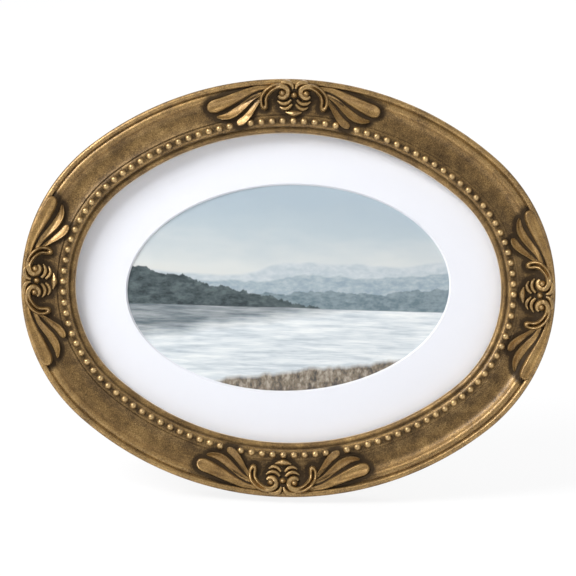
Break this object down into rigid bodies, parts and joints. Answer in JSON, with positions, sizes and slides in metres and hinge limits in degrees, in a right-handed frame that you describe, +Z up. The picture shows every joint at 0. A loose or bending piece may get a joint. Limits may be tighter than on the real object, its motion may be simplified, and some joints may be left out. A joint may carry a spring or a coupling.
{
  "type": "oval picture frame",
  "caption": "Oval tabletop picture frame with a gilt beaded moulding, leaf and scroll ornaments, glass, oval mat, print, hinged strut and turn buttons on the back.",
  "frame": {"origin": "lowest point of the moulding's back edge, where the standing frame touches the table", "axes": "+Z up, +X along the oval's long axis to the viewer's right, front of the frame towards -Y and leaning back by 15 degrees"},
  "size_m": [0.239, 0.0672, 0.1831],
  "materials": {
    "moulding": "antique gold leaf paint with a dark brown wash in the hollows",
    "bead_course": "antique gold leaf paint with a dark brown wash in the hollows",
    "ornaments_top_bottom": "antique gold leaf paint with a dark brown wash in the hollows",
    "ornaments_left_right": "antique gold leaf paint with a dark brown wash in the hollows",
    "glass": "clear float glass",
    "mat": "smooth off-white mount board with a bevelled edge",
    "picture_print": "matt printed landscape in misty blue-greys",
    "back_board": "brown hardboard, rough side out",
    "strut": "brown hardboard, smooth",
    "hinge_plate": "thin brassy zinc plate",
    "hinge_plate_rivets": "thin brassy zinc plate",
    "hinge_pin": "thin brassy zinc plate",
    "hinge_leaf": "thin brassy zinc plate",
    "hinge_leaf_rivets": "thin brassy zinc plate",
    "turn_button_screws": "thin brassy zinc plate",
    "hanger": "thin brassy zinc plate",
    "hanger_screws": "thin brassy zinc plate",
    "turn_button_upper_right": "thin brassy zinc plate",
    "turn_button_upper_left": "thin brassy zinc plate",
    "turn_button_lower_left": "thin brassy zinc plate",
    "turn_button_lower_right": "thin brassy zinc plate"
  },
  "bodies": {
    "frame": {"moulding": "moulding", "bead_course": "bead_course", "ornaments_top_bottom": "ornaments_top_bottom", "ornaments_left_right": "ornaments_left_right", "glass": "glass", "mat": "mat", "picture_print": "picture_print", "back_board": "back_board", "hinge_plate": "hinge_plate", "hinge_plate_rivets": "hinge_plate_rivets", "hinge_pin": "hinge_pin", "turn_button_screws": "turn_button_screws", "hanger": "hanger", "hanger_screws": "hanger_screws"},
    "strut": {"strut": "strut", "hinge_leaf": "hinge_leaf", "hinge_leaf_rivets": "hinge_leaf_rivets"},
    "button_upper_right": {"turn_button_upper_right": "turn_button_upper_right"},
    "button_upper_left": {"turn_button_upper_left": "turn_button_upper_left"},
    "button_lower_left": {"turn_button_lower_left": "turn_button_lower_left"},
    "button_lower_right": {"turn_button_lower_right": "turn_button_lower_right"}
  },
  "joints": [
    {"name": "strut_fold", "type": "hinge", "parent": "frame", "child": "strut", "pos_m": [0, 0.03033, 0.10565], "axis": [-1, 0, 0], "range_deg": [0, 24]},
    {"name": "button_upper_right_turn", "type": "hinge", "parent": "frame", "child": "button_upper_right", "pos_m": [0.0872, 0.03779, 0.13872], "axis": [0, 0.9659, -0.2588], "range_deg": [-90, 90]},
    {"name": "button_upper_left_turn", "type": "hinge", "parent": "frame", "child": "button_upper_left", "pos_m": [-0.0872, 0.03779, 0.13872], "axis": [0, 0.9659, -0.2588], "range_deg": [-90, 90]},
    {"name": "button_lower_left_turn", "type": "hinge", "parent": "frame", "child": "button_lower_left", "pos_m": [-0.0872, 0.01094, 0.0385], "axis": [0, 0.9659, -0.2588], "range_deg": [-90, 90]},
    {"name": "button_lower_right_turn", "type": "hinge", "parent": "frame", "child": "button_lower_right", "pos_m": [0.0872, 0.01094, 0.0385], "axis": [0, 0.9659, -0.2588], "range_deg": [-90, 90]}
  ]
}
